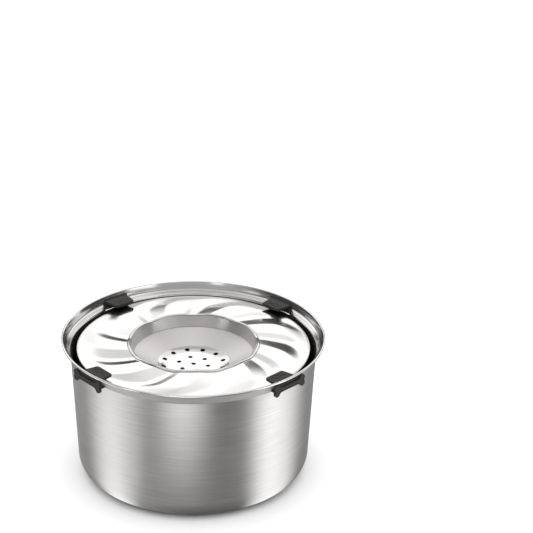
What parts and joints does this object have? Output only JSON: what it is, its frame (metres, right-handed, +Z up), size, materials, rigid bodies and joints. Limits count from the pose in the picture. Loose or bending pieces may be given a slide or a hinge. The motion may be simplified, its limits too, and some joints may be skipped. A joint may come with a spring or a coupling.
{
  "type": "no-spill water bowl",
  "caption": "Round steel pet water bowl with a flared rolled rim, a floating fluted disc with a strainer well that slows splashing, and silicone clips that hold the disc in.",
  "frame": {"origin": "centre of the bowl's base, on the table", "axes": "+Z up out of the bowl's mouth; -Y is the front, the side the picture is taken from; +X is its right-hand side"},
  "size_m": [0.27, 0.27, 0.15],
  "materials": {
    "bowl_steel": "brushed round the bowl, with a bright rolled rim",
    "float_polished": "bright polished sheet, brushed inside the well",
    "strainer_satin": "fine satin",
    "pan_steel": "plain drawn sheet",
    "silicone": "matte moulded silicone with a fine grain"
  },
  "bodies": {
    "bowl": {"bowl_shell": "bowl_steel"},
    "float": {"float_top": "float_polished", "strainer_cup": "strainer_satin", "float_pan": "pan_steel"},
    "clip_back_right_body": {"clip_back_right": "silicone"},
    "clip_back_left_body": {"clip_back_left": "silicone"},
    "clip_front_left_body": {"clip_front_left": "silicone"},
    "clip_front_right_body": {"clip_front_right": "silicone"}
  },
  "joints": [
    {"name": "float_lift", "type": "slide", "parent": "bowl", "child": "float", "axis": [0, 0, 1], "range_m": [-0.095, 0.0025], "stiffness_N_per_m": 350, "springref_m": 0.01387},
    {"name": "clip_back_right_pull", "type": "slide", "parent": "bowl", "child": "clip_back_right_body", "axis": [0.7218, 0.6921, 0], "range_m": [0, 0.01]},
    {"name": "clip_back_left_pull", "type": "slide", "parent": "bowl", "child": "clip_back_left_body", "axis": [-0.6468, 0.7627, 0], "range_m": [0, 0.01]},
    {"name": "clip_front_left_pull", "type": "slide", "parent": "bowl", "child": "clip_front_left_body", "axis": [-0.776, -0.6307, 0], "range_m": [0, 0.01]},
    {"name": "clip_front_right_pull", "type": "slide", "parent": "bowl", "child": "clip_front_right_body", "axis": [0.7009, -0.7133, 0], "range_m": [0, 0.01]}
  ]
}
